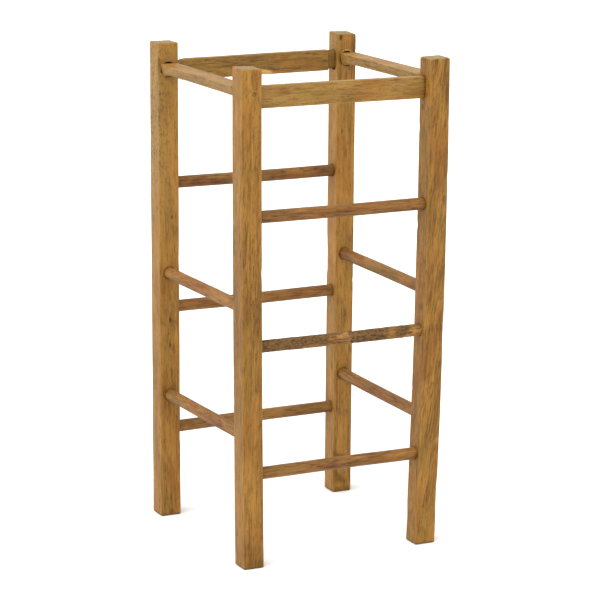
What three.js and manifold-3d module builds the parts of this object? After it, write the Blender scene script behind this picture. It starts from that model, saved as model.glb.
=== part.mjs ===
// Umbrella stand: four square posts, tied at the top by four flat rails and lower down by ten
// round rungs. The front and back rails stand on edge in slotted mortises and are pegged. The
// side rails lie flat, and their ends are rounded to fit bores in the posts.
//
// Units are millimetres. X runs to the right along the front, Y to the back and Z up. The origin
// is on the floor, midway between the four posts.
import * as THREE from 'three';
import { mergeVertices } from 'three/addons/utils/BufferGeometryUtils.js';
import Module from 'manifold-3d';

const wasm = await Module();
wasm.setup();

// ---------------------------------------------------------------- driving dimensions

const standHeight = 660; // floor to the mean height of the four post tops
const postSpacing = { x: 270, y: 266 }; // between post axes at the top

const postSide = 28;
const postArris = 2.2; // radius of the softened long edges
const postTopRound = 3; // radius of the rounded top edges
const postFootChamfer = 1.5;

const rungDiameter = 16.4;
const rungTenonDepth = 13; // how far a rung enters its post
const rungEndTaper = { length: 3, inset: 1.2 };
const rungSocketGap = 0.3; // all round the rung, and past its end

const railHeight = 27.8; // front and back rails, which stand on edge
const railThickness = 11.2; // front and back rails
const railArris = 2;
const railTenonInset = { height: 1.1, thickness: 0.6 }; // each side of the tenon
const railTenonRound = 4;
const railTenonWall = 5.5; // wood left in the post past the end of the mortise
const railSlotGap = { front: 1.4, back: 0.4, ends: 1.4, bottom: 0.4 }; // round the tenon
const frontRailBackWall = 3.6; // wood left behind the front rail's mortise
const backRailSetIn = 1; // from the post axis, towards the inside of the stand

const sideRailWidth = 25.5; // side rails lie flat
const sideRailThickness = 12;
const sideRailShoulderGap = 0.4;
const sideTenonDepth = 7.5;
const sideBoreDiameter = 21;
const sideBoreDrop = 2.5; // the bore sits this far below the rail's own axis
const sideBoreGap = 0.4; // all round the rounded tenon, and past its end

const pegDiameter = 5;
const pegProud = 0.5; // how far a peg stands out of the post
const pegHoleGap = 0.3;
const pegEndGap = 1; // wood between a peg's end and the side rail's tenon

// Every post was fitted by hand. lean is how far its foot stands from plumb, bow how far its
// middle bulges from straight, and trim how far its top is off the mean height.
const posts = {
  front_left: { corner: { x: -1, y: -1 }, lean: { x: 7, y: 1.5 }, bow: -1, trim: -1 },
  front_right: { corner: { x: 1, y: -1 }, lean: { x: -8, y: 2.5 }, bow: 3.2, trim: -1 },
  back_left: { corner: { x: -1, y: 1 }, lean: { x: 1.5, y: -3 }, bow: 0, trim: 1 },
  back_right: { corner: { x: 1, y: 1 }, lean: { x: 0, y: -0.5 }, bow: 0, trim: 1 },
};

// Each cross piece runs from one post to another. The rungs' heights are from the floor and
// the rails' drops from the mean post top, both to the middle of the piece at its two posts.
const sides = {
  front: ['front_left', 'front_right'],
  back: ['back_left', 'back_right'],
  left: ['front_left', 'back_left'],
  right: ['front_right', 'back_right'],
};
const rungs = [
  { side: 'front', level: 'upper', heights: [466, 466] },
  { side: 'front', level: 'middle', heights: [295.5, 295.5] },
  { side: 'front', level: 'lower', heights: [125, 125] },
  { side: 'back', level: 'upper', heights: [468, 468] },
  { side: 'back', level: 'middle', heights: [295, 296] },
  { side: 'back', level: 'lower', heights: [123.5, 125.5] },
  { side: 'left', level: 'upper', heights: [346, 345.5] },
  { side: 'left', level: 'lower', heights: [175.5, 173.5] },
  { side: 'right', level: 'upper', heights: [347, 350] },
  { side: 'right', level: 'lower', heights: [175, 175.5] },
];
// A neck is how far the tenon's section goes on past the post, and each peg has a place: how far
// inside the face that the rail enters, and how far above the rail's own axis.
const edgeRails = [
  {
    side: 'front', drops: [40, 40], necks: [3, 1], inward: 1,
    pegs: [{ inside: 10.5, above: 6.5 }, { inside: 18.5, above: 5 }],
  },
  {
    side: 'back', drops: [37.5, 35.5], necks: [9, 10], inward: -1,
    pegs: [{ inside: 12, above: 5 }, { inside: 12, above: 5 }],
  },
];
const sideRails = [
  { side: 'left', drops: [32.5, 32.5] },
  { side: 'right', drops: [30.7, 31.2] },
];

// ---------------------------------------------------------------- values worked out from them

const halfPost = postSide / 2;
const railTenonHeight = railHeight - 2 * railTenonInset.height;
const railTenonThickness = railThickness - 2 * railTenonInset.thickness;
const railTenonDepth = postSide - railTenonWall;
const railSlotWidth = railTenonThickness + railSlotGap.front + railSlotGap.back;
const railSlotHeight = railTenonHeight + 2 * railSlotGap.ends;
const railSlotShift = (railSlotGap.back - railSlotGap.front) / 2;
const frontRailSetIn = halfPost - frontRailBackWall - railSlotGap.back - railTenonThickness / 2;
const railSetIn = { front: frontRailSetIn, back: backRailSetIn };
const pegDepth = postSide - sideTenonDepth - pegEndGap;
const cutterOvershoot = 6; // how far a cutter runs out past the face that it enters

// Facets: three.js draws an arc, short or whole, with twice this number of straight steps.
const arrisSegments = 1;
const roundSegments = 10;
const pegSegments = 6;
const topRoundSteps = 3;
const bowSteps = 6;

const woods = {
  post: { color: 0xa77c42, roughness: 0.55, metalness: 0 },
  rail: { color: 0x9a713a, roughness: 0.55, metalness: 0 },
  rung: { color: 0x966b3c, roughness: 0.6, metalness: 0 },
  barkRung: { color: 0x6f4f30, roughness: 0.7, metalness: 0 },
  peg: { color: 0xb99261, roughness: 0.6, metalness: 0 },
};

// ---------------------------------------------------------------- shapes and solids

function roundedRectangle(width, height, radius) {
  const x = width / 2;
  const y = height / 2;
  const outline = new THREE.Shape();
  outline.absarc(x - radius, radius - y, radius, -Math.PI / 2, 0, false);
  outline.absarc(x - radius, y - radius, radius, 0, Math.PI / 2, false);
  outline.absarc(radius - x, y - radius, radius, Math.PI / 2, Math.PI, false);
  outline.absarc(radius - x, radius - y, radius, Math.PI, 1.5 * Math.PI, false);
  return outline;
}

function circle(diameter) {
  return new THREE.Shape().absarc(0, 0, diameter / 2, 0, 2 * Math.PI, false);
}

// A bar along +X from one end to the other. The section's x becomes Y and its y becomes Z.
function bar(section, from, to, segments, endTaper = { length: 0, inset: 0 }) {
  const geometry = new THREE.ExtrudeGeometry(section, {
    depth: to - from - 2 * endTaper.length,
    curveSegments: segments,
    bevelEnabled: endTaper.length > 0,
    bevelSegments: 1,
    bevelThickness: endTaper.length,
    bevelSize: endTaper.inset,
    bevelOffset: -endTaper.inset,
  });
  geometry.translate(0, 0, from + endTaper.length);
  const alongX = new THREE.Matrix4().makeBasis(
    new THREE.Vector3(0, 1, 0),
    new THREE.Vector3(0, 0, 1),
    new THREE.Vector3(1, 0, 0),
  );
  return geometry.applyMatrix4(alongX);
}

function solid(geometry) {
  const bare = geometry.clone();
  bare.deleteAttribute('normal');
  bare.deleteAttribute('uv');
  const welded = mergeVertices(bare, 1e-4);
  return new wasm.Manifold(new wasm.Mesh({
    numProp: 3,
    vertProperties: new Float32Array(welded.attributes.position.array),
    triVerts: new Uint32Array(welded.index.array),
  }));
}

function shell(body) {
  const { vertProperties, triVerts } = body.getMesh();
  const geometry = new THREE.BufferGeometry();
  geometry.setAttribute('position', new THREE.BufferAttribute(vertProperties, 3));
  geometry.setIndex(new THREE.BufferAttribute(triVerts, 1));
  const facets = geometry.toNonIndexed();
  facets.computeVertexNormals();
  return facets;
}

// Cuts the tools, which stand in the stand's frame, out of a body that is in its own frame.
function carve(body, frame, tools) {
  const toOwnFrame = frame.clone().invert();
  return tools.reduce(
    (left, tool) => left.subtract(solid(tool.clone().applyMatrix4(toOwnFrame))),
    body,
  );
}

function piece(name, geometry, frame, wood) {
  const mesh = new THREE.Mesh(geometry, new THREE.MeshStandardMaterial(wood));
  mesh.name = name;
  frame.decompose(mesh.position, mesh.quaternion, mesh.scale);
  return mesh;
}

// ---------------------------------------------------------------- where the pieces run

// How far a post's axis is from the post's own vertical line at a height.
function postOffset(post, height) {
  const down = 1 - height / standHeight;
  const bulge = 4 * down * (1 - down);
  return { x: post.lean.x * down + post.bow * bulge, y: post.lean.y * down };
}

function postFrame(post) {
  const x = (post.corner.x * postSpacing.x) / 2;
  const y = (post.corner.y * postSpacing.y) / 2;
  return new THREE.Matrix4().makeTranslation(x, y, 0);
}

function postAxis(post, height) {
  const offset = postOffset(post, height);
  return new THREE.Vector3(offset.x, offset.y, height).applyMatrix4(postFrame(post));
}

// The frame of a cross piece: its origin on the first post's axis and +X towards the second.
function crossFrame(side, heights, setIn = 0) {
  const [first, second] = sides[side].map((name, end) => postAxis(posts[name], heights[end]));
  const inwards = new THREE.Vector3(0, setIn, 0);
  const along = second.clone().sub(first);
  const length = along.length();
  along.normalize();
  const across = new THREE.Vector3(0, 0, 1).cross(along).normalize();
  const up = along.clone().cross(across);
  const frame = new THREE.Matrix4().makeBasis(along, across, up);
  frame.setPosition(first.add(inwards));
  return { frame, length };
}

// The two stretches of a cross piece that lie in its posts: from the tenon's end plus a gap,
// out through the face of the post.
function socketSpans(length, depth, gap) {
  const inner = halfPost - depth - gap;
  const outer = halfPost + cutterOvershoot;
  return [[inner, outer], [length - outer, length - inner]];
}

const railHeights = (drops) => drops.map((drop) => standHeight - drop);
const cutters = Object.fromEntries(Object.keys(posts).map((name) => [name, []]));

function addCutters(side, frame, spans, makeCutter) {
  return spans.map(([from, to], end) => {
    const cutter = makeCutter(from, to).applyMatrix4(frame);
    cutters[sides[side][end]].push(cutter);
    return cutter;
  });
}

// ---------------------------------------------------------------- rungs

function buildRung({ side, level, heights }) {
  const { frame, length } = crossFrame(side, heights);
  const socket = circle(rungDiameter + 2 * rungSocketGap);
  const spans = socketSpans(length, rungTenonDepth, rungSocketGap);
  addCutters(side, frame, spans, (from, to) => bar(socket, from, to, roundSegments));
  const end = halfPost - rungTenonDepth;
  const rung = bar(circle(rungDiameter), end, length - end, roundSegments, rungEndTaper);
  const wood = side === 'front' && level === 'middle' ? woods.barkRung : woods.rung;
  return piece(`rung_${side}_${level}`, rung, frame, wood);
}

// ---------------------------------------------------------------- side rails, lying flat

function buildSideRail({ side, drops }) {
  const { frame, length } = crossFrame(side, railHeights(drops));
  const spans = socketSpans(length, sideTenonDepth, sideBoreGap);
  const bores = addCutters(side, frame, spans, (from, to) => (
    bar(circle(sideBoreDiameter), from, to, roundSegments).translate(0, 0, -sideBoreDrop)
  ));
  const section = roundedRectangle(sideRailWidth, sideRailThickness, railArris);
  const shoulder = halfPost + sideRailShoulderGap;
  const end = halfPost - sideTenonDepth;
  const body = solid(bar(section, shoulder, length - shoulder, arrisSegments));
  const flat = solid(bar(section, end, length - end, arrisSegments));
  const tenonRound = circle(sideBoreDiameter - 2 * sideBoreGap);
  const round = bar(tenonRound, end, length - end, roundSegments).translate(0, 0, -sideBoreDrop);
  const rail = body.add(flat.intersect(solid(round)));
  return { bores, mesh: piece(`top_rail_${side}`, shell(rail), frame, woods.rail) };
}

// ---------------------------------------------------------------- front and back rails, on edge

function buildEdgeRail({ side, drops, necks, pegs: places, inward }, bores) {
  const { frame, length } = crossFrame(side, railHeights(drops), inward * railSetIn[side]);
  const slot = roundedRectangle(railSlotWidth, railSlotHeight, railSlotWidth / 2 - 0.01);
  const spans = socketSpans(length, railTenonDepth, railSlotGap.bottom);
  addCutters(side, frame, spans, (from, to) => (
    bar(slot, from, to, 3 * arrisSegments).translate(0, railSlotShift, 0)
  ));

  const tenonSection = roundedRectangle(railTenonThickness, railTenonHeight, railTenonRound);
  const bodySection = roundedRectangle(railThickness, railHeight, railArris);
  const end = halfPost - railTenonDepth;
  const tenons = solid(bar(tenonSection, end, length - end, arrisSegments));
  const bodyEnds = [halfPost + necks[0], length - halfPost - necks[1]];
  const body = solid(bar(bodySection, ...bodyEnds, arrisSegments));

  const outward = -inward;
  const pegs = places.map(({ inside, above }, index) => {
    const post = sides[side][index];
    const fromPost = halfPost - inside;
    const along = index === 0 ? fromPost : length - fromPost;
    const onAxis = new THREE.Vector3(along, 0, above).applyMatrix4(frame);
    const face = postAxis(posts[post], onAxis.z).y + outward * halfPost;
    const inwards = new THREE.Vector3(0, inward, 0);
    const across = new THREE.Vector3(0, 0, 1).cross(inwards);
    const pegFrame = new THREE.Matrix4().makeBasis(inwards, across, new THREE.Vector3(0, 0, 1));
    pegFrame.setPosition(onAxis.x, face, onAxis.z);
    const hole = circle(pegDiameter + 2 * pegHoleGap);
    const cutter = bar(hole, -cutterOvershoot, pegDepth + pegHoleGap, pegSegments);
    cutter.applyMatrix4(pegFrame);
    cutters[post].push(cutter);
    const peg = bar(circle(pegDiameter), -pegProud, pegDepth, pegSegments);
    return { cutter, mesh: piece(`tenon_peg_${post}`, peg, pegFrame, woods.peg) };
  });

  const tools = [...bores, ...pegs.map((peg) => peg.cutter)];
  const rail = carve(body.add(tenons), frame, tools);
  return [
    piece(`top_rail_${side}`, shell(rail), frame, woods.rail),
    ...pegs.map((peg) => peg.mesh),
  ];
}

// ---------------------------------------------------------------- posts

// The heights at which a post's outline is drawn, and how far it is drawn in at each.
function postLevels(top) {
  const foot = [{ height: 0, inset: postFootChamfer }];
  const straight = Array.from({ length: bowSteps + 1 }, (_, step) => ({
    height: postFootChamfer + (step / bowSteps) * (top - postTopRound - postFootChamfer),
    inset: 0,
  }));
  const rounded = Array.from({ length: topRoundSteps }, (_, step) => {
    const angle = ((step + 1) / topRoundSteps) * (Math.PI / 2);
    return {
      height: top - postTopRound * (1 - Math.sin(angle)),
      inset: postTopRound * (1 - Math.cos(angle)),
    };
  });
  return [...foot, ...straight, ...rounded];
}

function buildPost(name) {
  const post = posts[name];
  const levels = postLevels(standHeight + post.trim);
  const section = roundedRectangle(postSide, postSide, postArris);
  const blank = new THREE.ExtrudeGeometry(section, {
    depth: levels.length - 1,
    steps: levels.length - 1,
    curveSegments: arrisSegments,
    bevelEnabled: false,
  });
  const points = blank.attributes.position;
  for (let i = 0; i < points.count; i += 1) {
    const level = levels[Math.round(points.getZ(i))];
    const scale = 1 - level.inset / halfPost;
    const offset = postOffset(post, level.height);
    points.setXYZ(i, points.getX(i) * scale + offset.x, points.getY(i) * scale + offset.y,
      level.height);
  }
  const frame = postFrame(post);
  const body = carve(solid(blank), frame, cutters[name]);
  return piece(`post_${name}`, shell(body), frame, woods.post);
}

// ---------------------------------------------------------------- the stand

const rungGroup = new THREE.Group();
rungGroup.add(...rungs.map(buildRung));

const builtSideRails = sideRails.map(buildSideRail);
const bores = builtSideRails.flatMap((rail) => rail.bores);
const railGroup = new THREE.Group();
railGroup.add(...builtSideRails.map((rail) => rail.mesh));
railGroup.add(...edgeRails.flatMap((rail) => buildEdgeRail(rail, bores)));

const postGroup = new THREE.Group();
postGroup.add(...Object.keys(posts).map(buildPost));

const umbrellaStand = new THREE.Group();
umbrellaStand.name = 'umbrella_stand';
umbrellaStand.add(postGroup, railGroup, rungGroup);

export default umbrellaStand;
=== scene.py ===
# %% [markdown]
# # An old umbrella stand, in wood
# The stand is 22 loose pieces of one honey-coloured hardwood: four square posts, four rails round
# the top, ten round rungs and four pegs. All of them were worked by hand, oiled, and then knocked
# about for years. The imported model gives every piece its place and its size. This lesson gives
# each piece the shape that the tools left, the sockets it stands in, and the wood itself.
#
# We start by loading that model. Its pieces stay where they are: we only measure them.

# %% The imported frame
import math
from itertools import product
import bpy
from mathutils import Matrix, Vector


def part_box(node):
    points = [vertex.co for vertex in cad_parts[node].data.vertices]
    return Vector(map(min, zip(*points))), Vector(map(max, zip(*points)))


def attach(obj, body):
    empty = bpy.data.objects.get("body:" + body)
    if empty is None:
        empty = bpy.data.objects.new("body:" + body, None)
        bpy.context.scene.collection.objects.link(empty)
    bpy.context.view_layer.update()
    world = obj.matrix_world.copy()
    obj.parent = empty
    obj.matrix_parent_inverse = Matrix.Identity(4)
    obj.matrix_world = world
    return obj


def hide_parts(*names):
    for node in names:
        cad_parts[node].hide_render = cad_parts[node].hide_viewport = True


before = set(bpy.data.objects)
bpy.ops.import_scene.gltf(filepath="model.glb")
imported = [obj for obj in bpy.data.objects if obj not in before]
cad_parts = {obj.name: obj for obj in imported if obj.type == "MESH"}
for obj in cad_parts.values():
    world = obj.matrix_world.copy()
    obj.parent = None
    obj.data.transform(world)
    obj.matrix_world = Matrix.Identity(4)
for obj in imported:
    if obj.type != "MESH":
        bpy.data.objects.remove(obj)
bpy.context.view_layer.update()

from types import SimpleNamespace

import bpy
import numpy as np
from mathutils import Matrix, Vector

MM = 0.001

# %% [markdown]
# ## The camera
# The stand is seen from its front left corner, from a little above and from well back, so that the
# posts look almost parallel. We give the direction as an azimuth and an elevation, step back from
# the middle of the stand, and write the three axes of the camera straight into its matrix. A
# tracking constraint would be shorter, but it could not hold the slight roll.

# %% Camera
stand_height = 660 * MM
view_azimuth = math.radians(-26.156)
view_elevation = math.radians(12.723)
view_roll = math.radians(0.475)
view_distance = 3.5467
aim_aside = 6.5 * MM
aim_below = 10.2 * MM

camera = bpy.data.objects.new("camera", bpy.data.cameras.new("camera"))
camera.data.sensor_width = 36
camera.data.lens = 157.46
camera.data.clip_end = 100
bpy.context.scene.collection.objects.link(camera)
bpy.context.scene.camera = camera

level_share = math.cos(view_elevation)
towards_camera = Vector((math.sin(view_azimuth) * level_share,
                         -math.cos(view_azimuth) * level_share, math.sin(view_elevation)))
level_right = Vector((math.cos(view_azimuth), math.sin(view_azimuth), 0))
level_up = towards_camera.cross(level_right)
rolled_right = level_right * math.cos(view_roll) + level_up * math.sin(view_roll)
rolled_up = level_up * math.cos(view_roll) - level_right * math.sin(view_roll)
target = Vector((0, 0, stand_height / 2)) + level_right * aim_aside - level_up * aim_below
turn = Matrix((rolled_right, rolled_up, towards_camera)).transposed()
camera.matrix_world = Matrix.Translation(target + towards_camera * view_distance) @ turn.to_4x4()
print("the camera stands at", [round(x, 3) for x in camera.matrix_world.translation])

# %% [markdown]
# ## Floor and light
# The studio is white all round, which fills every side of the stand with soft light. One very wide
# lamp, high on the left and a little in front, makes the left faces and the tops lighter than the
# front faces. A sun lamp with a large angle does the work of a huge soft box, and it lights the
# far floor as evenly as the near floor.


# %% Colours and nodes
def linear(code):
    """A colour for a shader from its sRGB hex code: each channel c is c/12.92 when small, else
    ((c + 0.055) / 1.055) to the power 2.4."""
    parts = np.array([int(code[i:i + 2], 16) for i in (1, 3, 5)]) / 255
    curved = np.where(parts <= 0.04045, parts / 12.92, ((parts + 0.055) / 1.055) ** 2.4)
    return (*curved.tolist(), 1.0)


def add(tree, kind, inputs, output=0, **settings):
    """Adds a node. Settings are its own options, inputs are values or the sockets to link, and one
    of its output sockets comes back."""
    node = tree.nodes.new(kind)
    for name, value in settings.items():
        setattr(node, name, value)
    for name, value in inputs.items():
        if isinstance(value, bpy.types.NodeSocket):
            tree.links.new(value, node.inputs[name])
        else:
            node.inputs[name].default_value = value
    return node.outputs[output] if node.outputs else node


# %% Floor, sky and lamp
def new_material(name):
    """A material with an empty node tree."""
    material = bpy.data.materials.new(name)
    material.use_nodes = True
    material.node_tree.nodes.clear()
    return material


floor_reach = 30
floor_corners = [(-1, -1), (1, -1), (1, 1), (-1, 1)]
floor_mesh = bpy.data.meshes.new("floor")
floor_mesh.from_pydata([(x * floor_reach, y * floor_reach, 0) for x, y in floor_corners], [],
                       [(0, 1, 2, 3)])
floor = bpy.data.objects.new("floor", floor_mesh)
bpy.context.scene.collection.objects.link(floor)

# Matt white studio paper: it only has to stay pale and free of gloss.
paper = new_material("matt_white_paper")
paper_shader = add(paper.node_tree, "ShaderNodeBsdfDiffuse", {"Color": linear("#E4E4E2")})
add(paper.node_tree, "ShaderNodeOutputMaterial", {"Surface": paper_shader})
floor_mesh.materials.append(paper)

sky = bpy.data.worlds.new("white_studio")
sky.use_nodes = True
sky.node_tree.nodes["Background"].inputs["Color"].default_value = linear("#FFFFFF")
sky.node_tree.nodes["Background"].inputs["Strength"].default_value = 1.20
bpy.context.scene.world = sky

key = bpy.data.objects.new("soft_key", bpy.data.lights.new("soft_key", "SUN"))
key.data.energy = 2.9
key.data.angle = math.radians(70)
key_from = Vector((-0.45, -0.25, 0.86))
key.matrix_world = key_from.to_track_quat("Z", "Y").to_matrix().to_4x4()
bpy.context.scene.collection.objects.link(key)
bpy.context.scene.view_settings.view_transform = "Standard"
print("floor, sky and one soft lamp are in place")

# %% [markdown]
# ## Sticks
# Every piece is a stick: an axis from one end to the other, with two directions across it. The
# posts lean a little and one of them is bowed, and no rung is quite level, so we measure each axis
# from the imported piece. A point of a piece is then given by how far it lies along the stick and
# how far it lies to each side, which is also how a joiner would mark it out.


# %% Sticks
def vertex_values(mesh, what="co"):
    """A vector of every vertex, its place or its normal, as rows of x, y and z."""
    values = np.empty(3 * len(mesh.vertices), np.float32)
    mesh.vertices.foreach_get(what, values)
    return values.reshape(-1, 3).astype(float)


def middle_of(points):
    """The middle of the box round some points."""
    return (points.min(0) + points.max(0)) / 2


def make_stick(start, end, across, up, bow=(0, 0, 0), **facts):
    """An axis from start to end, its two side directions, and how far its middle is bowed."""
    span = np.asarray(end) - np.asarray(start)
    normal = np.cross(across, up)
    return SimpleNamespace(start=np.asarray(start), span=span, across=np.asarray(across),
                           up=np.asarray(up), normal=normal, bow=np.asarray(bow),
                           length=float(span @ normal), **facts)


def axis_at(stick, along):
    """The axis point at a length: start + t span + 4t(1 - t) bow, where t = along / length."""
    share = (np.asarray(along) / stick.length)[..., None]
    return stick.start + share * stick.span + 4 * share * (1 - share) * stick.bow


def to_world(stick, along, a, b):
    """The point that lies along the stick, then a to its side and b up from it."""
    return axis_at(stick, along) + a[..., None] * stick.across + b[..., None] * stick.up


def to_stick(stick, points):
    """The other way round: how far each point lies along the stick, to its side and up."""
    along = (points - stick.start) @ stick.normal
    rest = points - axis_at(stick, along)
    return along, rest @ stick.across, rest @ stick.up


# %% The posts' axes
post_top_round = 3 * MM
ring_reach = 2 * MM
same_height = 0.3 * MM
same_width = 0.05 * MM


def post_stick(name):
    """A post's axis, through the middles of its packed outline at the foot, halfway and at the
    top. The bow is how far the halfway point lies off the straight line."""
    points = vertex_values(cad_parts[name].data)
    heights = points[:, 2]
    top = heights.max()
    levels = [0, top / 2, top]
    rings = [middle_of(points[abs(heights - level) < ring_reach]) for level in levels]
    foot, halfway, head = [np.array([x, y, z]) for (x, y, _), z in zip(rings, levels)]
    shoulder = points[abs(heights - (top - post_top_round)) < same_height]
    side = float(np.ptp(shoulder[:, 0]))
    return make_stick(foot, head, (1, 0, 0), (0, 1, 0), halfway - (foot + head) / 2, side=side)


corners = ["front_left", "front_right", "back_left", "back_right"]
posts = {f"post_{corner}": post_stick(f"post_{corner}") for corner in corners}
for name, stick in posts.items():
    print(name, "leans", (stick.span[:2] / MM).round(1), "bows", (stick.bow[:2] / MM).round(1), "mm")

# %% The rails' and rungs' axes
side_posts = {
    "front": ("post_front_left", "post_front_right"),
    "back": ("post_back_left", "post_back_right"),
    "left": ("post_front_left", "post_back_left"),
    "right": ("post_front_right", "post_back_right"),
}


def cross_stick(name, side):
    """The axis of a piece between two posts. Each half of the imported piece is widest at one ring
    of points, and the axis runs through the middles of those two rings to the piece's ends."""
    points = vertex_values(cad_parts[name].data)
    run = 0 if side in ("front", "back") else 1
    wide = 1 - run
    low, high = points.min(0), points.max(0)
    halfway = (low[run] + high[run]) / 2
    rings = []
    for half in (points[points[:, run] < halfway], points[points[:, run] > halfway]):
        spread = half[:, wide]
        rim = half[np.minimum(spread.max() - spread, spread - spread.min()) < same_width]
        centre = middle_of(half)
        centre[run] = rim[:, run].mean()
        rings.append(centre)
    slope = (rings[1] - rings[0]) / (rings[1][run] - rings[0][run])
    start = rings[0] + slope * (low[run] - rings[0][run])
    end = rings[0] + slope * (high[run] - rings[0][run])
    along = slope / np.linalg.norm(slope)
    across = np.cross((0, 0, 1), along)
    across /= np.linalg.norm(across)
    half = points[points[:, run] < halfway]
    stick = make_stick(start, end, across, np.cross(along, across),
                       width=float(np.ptp(half[:, wide])), height=float(np.ptp(half[:, 2])),
                       shoulders=[float(abs(ring[run] - tip[run]))
                                  for ring, tip in zip(rings, (start, end))])
    stick.is_round = name.startswith("rung_")
    stick.posts = side_posts[side]
    # Where the axis goes in through the face of each post, measured along the stick.
    stick.faces = []
    for post_name, inwards in zip(stick.posts, (1, -1)):
        post = posts[post_name]
        end_height = start[2] if inwards == 1 else end[2]
        face = axis_at(post, np.array(end_height))[run] + inwards * post.side / 2
        stick.faces.append(float((face - start[run]) / along[run]))
    return stick


rungs = {}
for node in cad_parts:
    if node.startswith("rung_"):
        rungs[node] = cross_stick(node, node.split("_")[1])
rails = {f"top_rail_{side}": cross_stick(f"top_rail_{side}", side) for side in side_posts}
for name, stick in {**rungs, **rails}.items():
    print(f"{name}: {stick.length / MM:.1f} long, {stick.width / MM:.1f} wide,",
          f"{stick.height / MM:.1f} high, enters at", [round(x / MM, 1) for x in stick.faces])

# %% [markdown]
# ## Tool marks
# No face here is dead flat. A hand plane leaves slow waves, the grain stands a little proud of
# the softer wood, and the edges have been knocked. All of that comes from one smooth noise, which
# is the same on every run because its numbers are worked out from the cell they belong to.


# %% Noise
def smooth_noise(cells, seed):
    """Noise from -1 to 1 at points measured in cells. Each whole-numbered corner has a seeded
    random number, and the eight round a point are blended by 3t^2 - 2t^3 along each axis."""
    base = np.floor(cells).astype(np.int64)
    part = cells - base
    part = part * part * (3 - 2 * part)
    total = np.zeros(cells.shape[:-1])
    for corner in product((0, 1), repeat=3):
        x, y, z = np.moveaxis(base + corner, -1, 0)
        mixed = (x * 73856093 ^ y * 19349663 ^ z * 83492791 ^ (seed + 7) * 2654435761) & 0xFFFFFFFF
        mixed = (mixed ^ (mixed >> 15)) * 2246822519 & 0xFFFFFFFF
        mixed = (mixed ^ (mixed >> 13)) * 3266489917 & 0xFFFFFFFF
        value = ((mixed ^ (mixed >> 16)) & 0xFFFF) / 32767.5 - 1
        weight = np.prod(np.where(corner, part, 1 - part), axis=-1)
        total += weight * value
    return total


def stretched_noise(along, a, b, along_cell, side_cell, seed):
    """Smooth noise in a stick's own directions, with cells that are long in the grain."""
    cells = np.stack(np.broadcast_arrays(a / side_cell, b / side_cell, along / along_cell), -1)
    return smooth_noise(cells, seed)


def ease(value, low, high):
    """0 below low, 1 above high, and 3t^2 - 2t^3 in between."""
    t = np.clip((value - low) / (high - low), 0, 1)
    return t * t * (3 - 2 * t)


print("noise at one point:", smooth_noise(np.array([[0.3, 0.6, 0.9]]), 1).round(3))

# %% [markdown]
# ## Outlines
# A planed piece is a few flat sides that meet in soft arrises. Seen from the axis, a flat side
# that faces one direction at some distance lies at distance / cos(angle) away. We turn each side
# into 1 / radius and add the sides as powers: a high power keeps the corners crisp, and a low one
# rounds them. Whittled corners and round tenons are only more sides in the same sum, and their
# distances may change along the stick, so one formula carries a rail into its tenon.


# %% Outlines
def flat_side(angles, facing, distance):
    """1 / radius of a flat side: cos(angle - facing) / distance, and 0 where it faces away."""
    return np.maximum(np.cos(angles - facing), 0) / distance


def round_side(angles, drop, radius):
    """1 / radius of a circle whose centre lies a drop below the axis. Its radius seen from the
    axis is sqrt(radius^2 - (drop cos)^2) - drop sin."""
    return 1 / (np.sqrt(radius ** 2 - (drop * np.cos(angles)) ** 2) - drop * np.sin(angles))


def outline(sides, sharpness):
    """The radius that satisfies all sides: (sum of side^sharpness)^(-1 / sharpness)."""
    return sum(side ** sharpness for side in sides) ** (-1 / sharpness)


def polar(radius, angles):
    """How far to the side and how far up a radius reaches: radius cos and radius sin."""
    return radius * np.cos(angles), radius * np.sin(angles)


def spaced_angles(radius_at, count, corner_share=5 * MM):
    """Angles round an outline, evenly spaced along it but closer where it turns. Each short step
    counts its length plus corner_share times the angle through which it turns."""
    fine = np.linspace(0, 2 * math.pi, 2881)
    x, y = np.diff(polar(radius_at(fine), fine))
    heading = np.unwrap(np.arctan2(y, x))
    turned = np.abs(np.diff(heading, append=heading[-1]))
    travel = np.concatenate([[0], np.cumsum(np.hypot(x, y) + corner_share * turned)])
    return np.interp(np.arange(count) / count * travel[-1], travel, fine)


def box_sides(angles, half_width, half_height):
    """The four sides of a rectangle: right, up, left and down."""
    distances = (half_width, half_height, half_width, half_height)
    return [flat_side(angles, k * math.pi / 2, d) for k, d in enumerate(distances)]


post_half = posts["post_front_left"].side / 2
arris_sharpness = 28
corner_cut = post_half * math.sqrt(2) * (1 - 2 ** (-1 / arris_sharpness))
print(f"a sharpness of {arris_sharpness} takes {corner_cut / MM:.2f} mm off a post's corner")


# %% From a grid of points to a closed mesh
def skin(name, stick, along, a, b):
    """A closed mesh on a grid with rows along the stick and columns round it. The first and the
    last row are closed by fans round a point in their middle."""
    rows, around = a.shape
    along = np.broadcast_to(along, a.shape)
    grid = to_world(stick, along, a, b).reshape(-1, 3)
    ends = [to_world(stick, along[k].mean(), a[k].mean(), b[k].mean()) for k in (0, -1)]
    number = np.arange(rows * around).reshape(rows, around)
    after = np.roll(number, -1, axis=1)
    quads = np.stack([number[:-1], after[:-1], after[1:], number[1:]], -1).reshape(-1, 4)
    first, last = np.full(around, rows * around), np.full(around, rows * around + 1)
    fans = np.concatenate([np.stack([first, after[0], number[0]], -1),
                           np.stack([last, number[-1], after[-1]], -1)])
    mesh = bpy.data.meshes.new(name)
    mesh.from_pydata(np.vstack([grid, ends]), [], quads.tolist() + fans.tolist())
    piece = bpy.data.objects.new(name, mesh)
    bpy.context.scene.collection.objects.link(piece)
    return piece


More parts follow.
